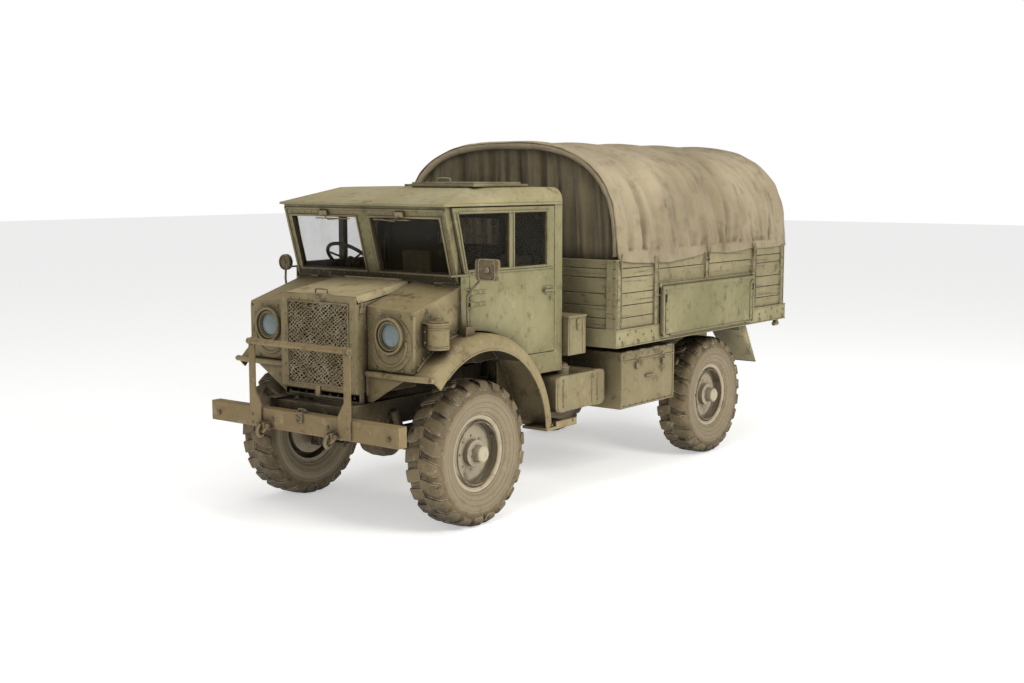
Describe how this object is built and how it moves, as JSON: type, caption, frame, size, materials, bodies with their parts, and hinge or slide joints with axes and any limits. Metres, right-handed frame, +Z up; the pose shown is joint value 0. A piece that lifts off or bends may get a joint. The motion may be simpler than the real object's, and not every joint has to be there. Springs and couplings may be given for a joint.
{
  "type": "military cargo truck",
  "caption": "Four-wheel-drive military cargo truck with a snub-nosed cab, brush guard, planked load body and canvas tilt; it steers, and its doors, hood, hatch, flaps and tailgate open.",
  "frame": {"origin": "on the ground below the middle of the truck's length and width", "axes": "front faces -Y, the truck's left side faces +X, +Z up"},
  "size_m": [2.3855, 5.2969, 2.7653],
  "materials": {
    "body_paint": "chalky khaki olive paint with dust, stains and rust at its edges",
    "chassis_paint": "dark grimy olive paint under dried mud",
    "mesh_steel": "painted expanded metal mesh, worn to dull steel",
    "radiator_core": "black painted fins",
    "lamp_glass": "blue grey domed glass, dusty",
    "window_glass": "thin clear window glass",
    "seat_cloth": "worn dark canvas seat cover",
    "engine_iron": "dull painted iron casting",
    "exhaust_steel": "rusted steel pipe",
    "painted_planks": "planks under faded khaki olive paint",
    "canvas": "heavy weathered canvas",
    "wheel_rim_resin": "hard black moulded grip",
    "tyre": "rubber caked in dry dust",
    "wheel_paint": "dusty olive paint on pressed steel"
  },
  "bodies": {
    "chassis": {"frame_rails": "chassis_paint", "front_bumper": "body_paint", "brush_guard": "body_paint", "nose_cowl": "body_paint", "grille_mesh": "mesh_steel", "radiator": "radiator_core", "wing_boxes": "body_paint", "front_fender_left": "body_paint", "front_fender_right": "body_paint", "lamps": "body_paint", "lamp_lenses": "lamp_glass", "cab_cowl": "body_paint", "cab_floor": "body_paint", "engine_cover": "body_paint", "cab_back": "body_paint", "cab_roof": "body_paint", "windshield_frame": "body_paint", "windshield_glass": "window_glass", "seats": "seat_cloth", "steering_column": "chassis_paint", "front_axle": "chassis_paint", "rear_axle": "chassis_paint", "leaf_springs": "chassis_paint", "powertrain": "engine_iron", "propshafts": "chassis_paint", "exhaust": "exhaust_steel", "fuel_tanks": "body_paint", "tool_boxes": "body_paint", "cab_steps": "body_paint", "rear_mudguards": "body_paint", "cargo_floor": "body_paint", "front_board": "painted_planks", "side_boards": "painted_planks", "canopy": "canvas", "canopy_hoops": "chassis_paint", "mirrors": "body_paint", "side_canister": "body_paint"},
    "knuckle_left": {"knuckle_left": "chassis_paint"},
    "knuckle_right": {"knuckle_right": "chassis_paint"},
    "tie_rod": {"tie_rod": "chassis_paint"},
    "steering_wheel": {"steering_wheel": "wheel_rim_resin"},
    "door_left": {"door_left": "body_paint", "door_glass_left": "window_glass"},
    "door_right": {"door_right": "body_paint", "door_glass_right": "window_glass"},
    "hood": {"hood": "body_paint"},
    "roof_hatch": {"roof_hatch": "body_paint"},
    "tailgate": {"tailgate": "painted_planks"},
    "dropside_left": {"dropside_left": "body_paint"},
    "dropside_right": {"dropside_right": "body_paint"},
    "wheel_front_left": {"tyre_front_left": "tyre", "wheel_front_left": "wheel_paint"},
    "wheel_front_right": {"tyre_front_right": "tyre", "wheel_front_right": "wheel_paint"},
    "wheel_rear_left": {"tyre_rear_left": "tyre", "wheel_rear_left": "wheel_paint"},
    "wheel_rear_right": {"tyre_rear_right": "tyre", "wheel_rear_right": "wheel_paint"}
  },
  "joints": [
    {"name": "steer_left", "type": "hinge", "parent": "chassis", "child": "knuckle_left", "pos_m": [0.68, -1.75652, 0.525], "axis": [0, 0, 1], "range_deg": [-28, 28]},
    {"name": "steer_right", "type": "hinge", "parent": "chassis", "child": "knuckle_right", "pos_m": [-0.68, -1.75652, 0.525], "axis": [0, 0, 1], "range_deg": [-28, 28]},
    {"name": "tie_rod_pivot", "type": "hinge", "parent": "knuckle_left", "child": "tie_rod", "pos_m": [0.68, -1.55652, 0.467], "axis": [0, 0, 1], "range_deg": [-28, 28]},
    {"name": "steering_wheel_turn", "type": "hinge", "parent": "chassis", "child": "steering_wheel", "pos_m": [-0.52, -1.50652, 1.825], "axis": [0, 0.6691, 0.7431], "range_deg": [-505, 505]},
    {"name": "spin_front_left", "type": "hinge", "parent": "knuckle_left", "child": "wheel_front_left", "pos_m": [0.836, -1.75652, 0.525], "axis": [1, 0, 0], "continuous": true},
    {"name": "spin_front_right", "type": "hinge", "parent": "knuckle_right", "child": "wheel_front_right", "pos_m": [-0.836, -1.75652, 0.525], "axis": [1, 0, 0], "continuous": true},
    {"name": "spin_rear_left", "type": "hinge", "parent": "chassis", "child": "wheel_rear_left", "pos_m": [0.836, 1.54348, 0.525], "axis": [1, 0, 0], "continuous": true},
    {"name": "spin_rear_right", "type": "hinge", "parent": "chassis", "child": "wheel_rear_right", "pos_m": [-0.836, 1.54348, 0.525], "axis": [1, 0, 0], "continuous": true},
    {"name": "door_left_hinge", "type": "hinge", "parent": "chassis", "child": "door_left", "pos_m": [0.84891, -1.71526, 1.625], "axis": [0, 0, -1], "range_deg": [0, 62]},
    {"name": "door_right_hinge", "type": "hinge", "parent": "chassis", "child": "door_right", "pos_m": [-0.84891, -1.71526, 1.625], "axis": [0, 0, 1], "range_deg": [0, 62]},
    {"name": "hood_hinge", "type": "hinge", "parent": "chassis", "child": "hood", "pos_m": [0, -1.82252, 1.732], "axis": [-1, 0, 0], "range_deg": [0, 50]},
    {"name": "roof_hatch_hinge", "type": "hinge", "parent": "chassis", "child": "roof_hatch", "pos_m": [0.355, -0.82252, 2.411], "axis": [-1, 0, 0], "range_deg": [0, 100]},
    {"name": "tailgate_hinge", "type": "hinge", "parent": "chassis", "child": "tailgate", "pos_m": [0, 2.63648, 1.273], "axis": [-1, 0, 0], "range_deg": [0, 90]},
    {"name": "dropside_left_hinge", "type": "hinge", "parent": "chassis", "child": "dropside_left", "pos_m": [1.148, 1.14348, 1.175], "axis": [0, 1, 0], "range_deg": [0, 110]},
    {"name": "dropside_right_hinge", "type": "hinge", "parent": "chassis", "child": "dropside_right", "pos_m": [-1.148, 1.14348, 1.175], "axis": [0, -1, 0], "range_deg": [0, 110]}
  ],
  "couplings": [
    {"joint": "steer_right", "follows": "steer_left", "ratio": 1},
    {"joint": "tie_rod_pivot", "follows": "steer_left", "ratio": -1},
    {"joint": "steering_wheel_turn", "follows": "steer_left", "ratio": 18}
  ]
}
